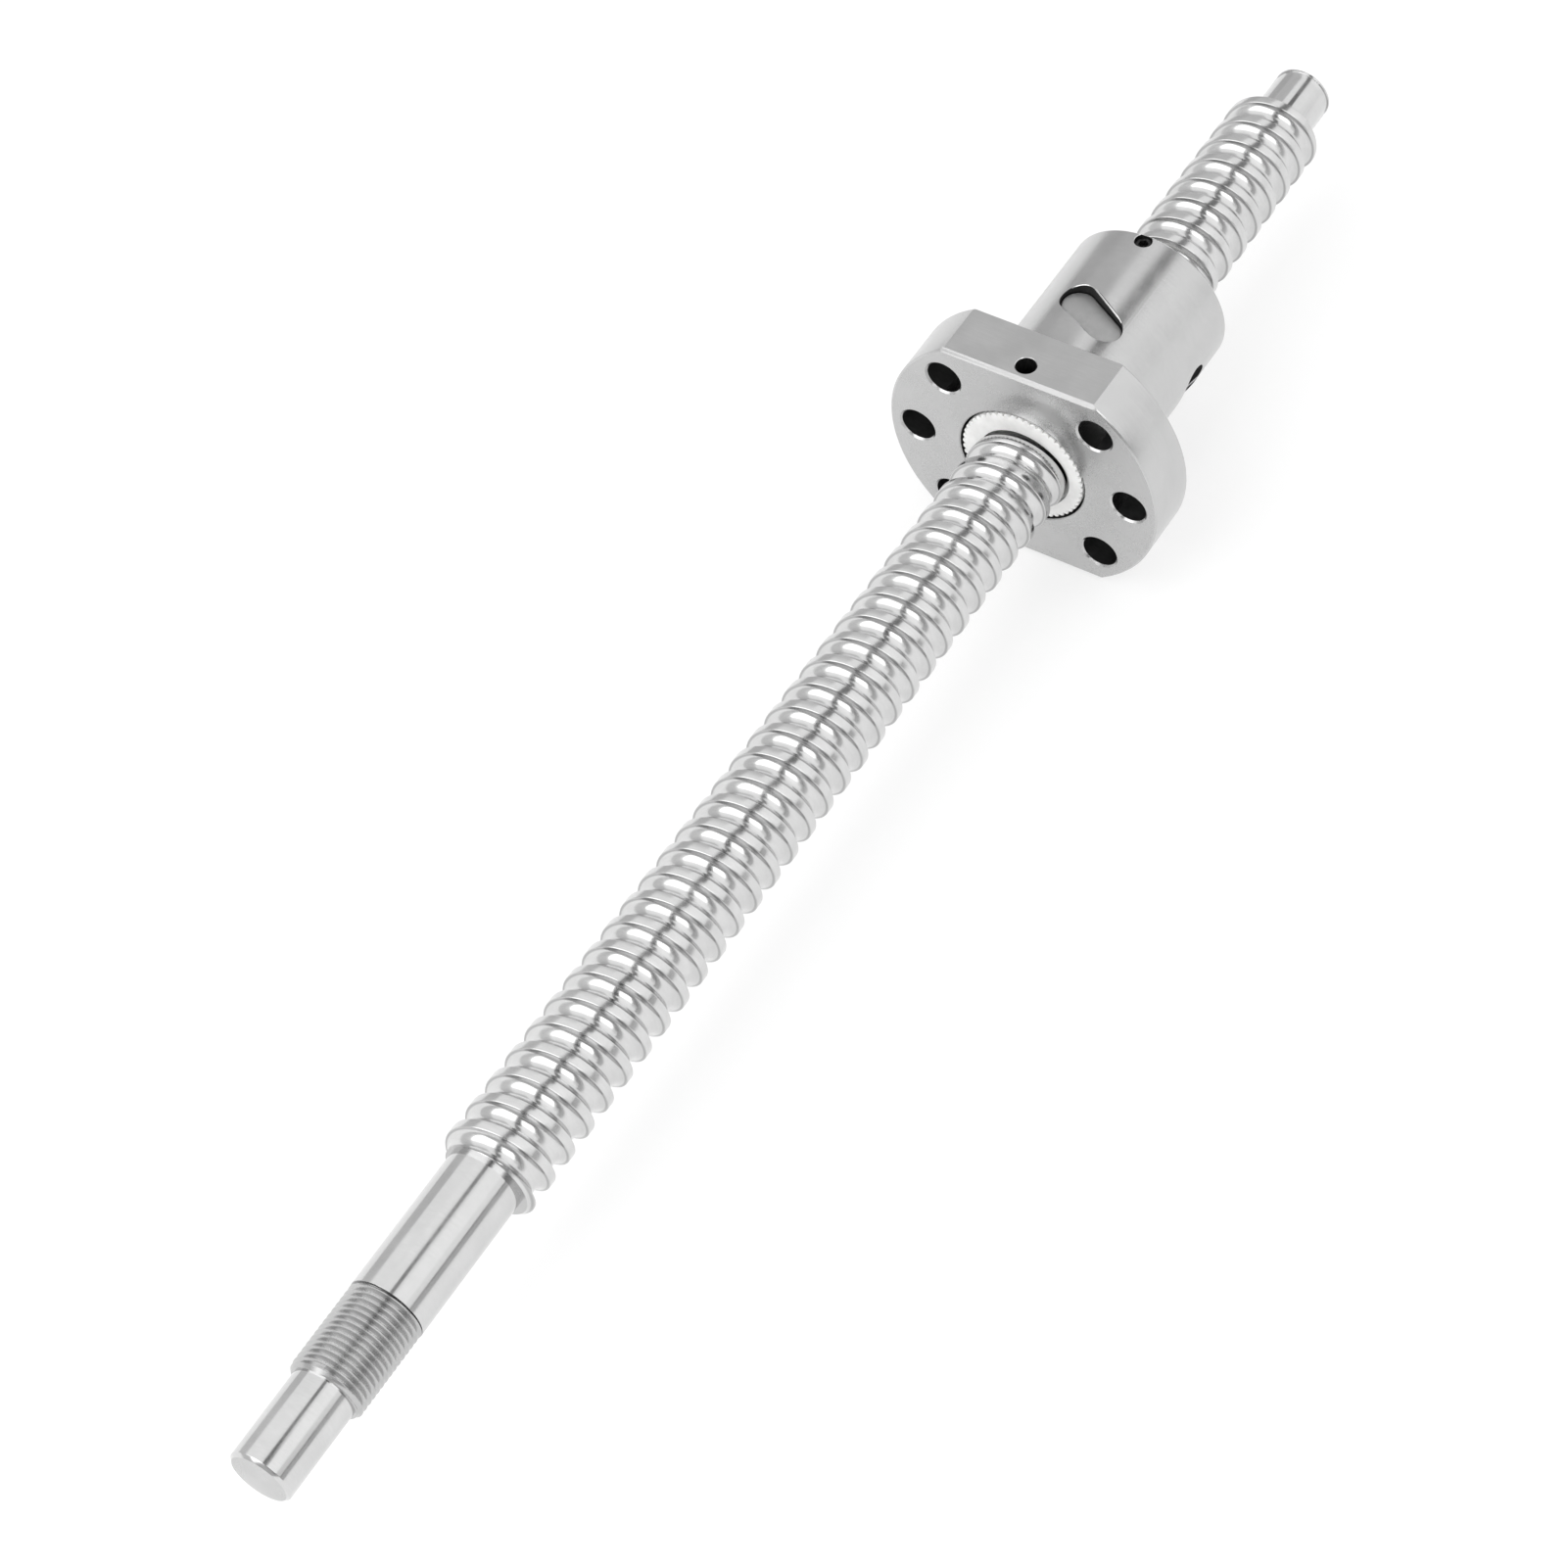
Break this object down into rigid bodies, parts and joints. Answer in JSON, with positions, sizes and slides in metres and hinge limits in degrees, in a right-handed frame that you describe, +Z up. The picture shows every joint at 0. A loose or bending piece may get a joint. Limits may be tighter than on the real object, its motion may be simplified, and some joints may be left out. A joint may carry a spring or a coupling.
{
  "type": "ball screw assembly",
  "caption": "Ball screw with a right-hand ball thread, a locknut thread and plain journals on its stepped ends, and a flanged ball nut that travels along it.",
  "frame": {"origin": "on the screw axis, at the shoulder where the 12 mm bearing journal of the driven end meets the ball thread", "axes": "+X along the screw axis from the driven end to the far end, +Z out of the flange flat that holds the oil port, +Y to the left when looking along +X with +Z up"},
  "size_m": [0.3, 0.048, 0.04],
  "materials": {
    "screw_steel": "rolled and induction-hardened bearing steel, bright polished, with ground journals",
    "nut_steel": "ground bearing steel, satin, with a face-turned flange",
    "wiper_plastic": "white acetal, smooth",
    "deflector_metal": "sintered steel, matte grey",
    "black_steel": "black oxide",
    "ball_steel": "lapped bearing steel"
  },
  "bodies": {
    "screw": {"screw_shaft": "screw_steel"},
    "nut_stage": {"rear_wiper": "wiper_plastic"},
    "nut": {"nut_body": "nut_steel", "front_wiper": "wiper_plastic", "wiper_set_screw": "black_steel", "deflector_a": "deflector_metal", "deflector_b": "deflector_metal", "deflector_c": "deflector_metal", "ball_a_1": "ball_steel", "ball_a_2": "ball_steel", "ball_a_3": "ball_steel", "ball_a_4": "ball_steel", "ball_a_5": "ball_steel", "ball_a_6": "ball_steel", "ball_a_7": "ball_steel", "ball_a_8": "ball_steel", "ball_a_9": "ball_steel", "ball_a_10": "ball_steel", "ball_a_11": "ball_steel", "ball_a_12": "ball_steel", "ball_a_13": "ball_steel", "ball_a_14": "ball_steel", "ball_a_15": "ball_steel", "ball_a_16": "ball_steel", "ball_b_1": "ball_steel", "ball_b_2": "ball_steel", "ball_b_3": "ball_steel", "ball_b_4": "ball_steel", "ball_b_5": "ball_steel", "ball_b_6": "ball_steel", "ball_b_7": "ball_steel", "ball_b_8": "ball_steel", "ball_b_9": "ball_steel", "ball_b_10": "ball_steel", "ball_b_11": "ball_steel", "ball_b_12": "ball_steel", "ball_b_13": "ball_steel", "ball_b_14": "ball_steel", "ball_b_15": "ball_steel", "ball_b_16": "ball_steel", "ball_c_1": "ball_steel", "ball_c_2": "ball_steel", "ball_c_3": "ball_steel", "ball_c_4": "ball_steel", "ball_c_5": "ball_steel", "ball_c_6": "ball_steel", "ball_c_7": "ball_steel", "ball_c_8": "ball_steel", "ball_c_9": "ball_steel", "ball_c_10": "ball_steel", "ball_c_11": "ball_steel", "ball_c_12": "ball_steel", "ball_c_13": "ball_steel", "ball_c_14": "ball_steel", "ball_c_15": "ball_steel", "ball_c_16": "ball_steel"}
  },
  "joints": [
    {"name": "nut_travel", "type": "slide", "parent": "screw", "child": "nut_stage", "axis": [1, 0, 0], "range_m": [-0.1501, 0.0401]},
    {"name": "nut_spin", "type": "hinge", "parent": "nut_stage", "child": "nut", "pos_m": [0, 0, 0], "axis": [1, 0, 0], "range_deg": [-10800, 2880]}
  ],
  "couplings": [
    {"joint": "nut_travel", "follows": "nut_spin", "m_per_rad": 0.00079577}
  ]
}
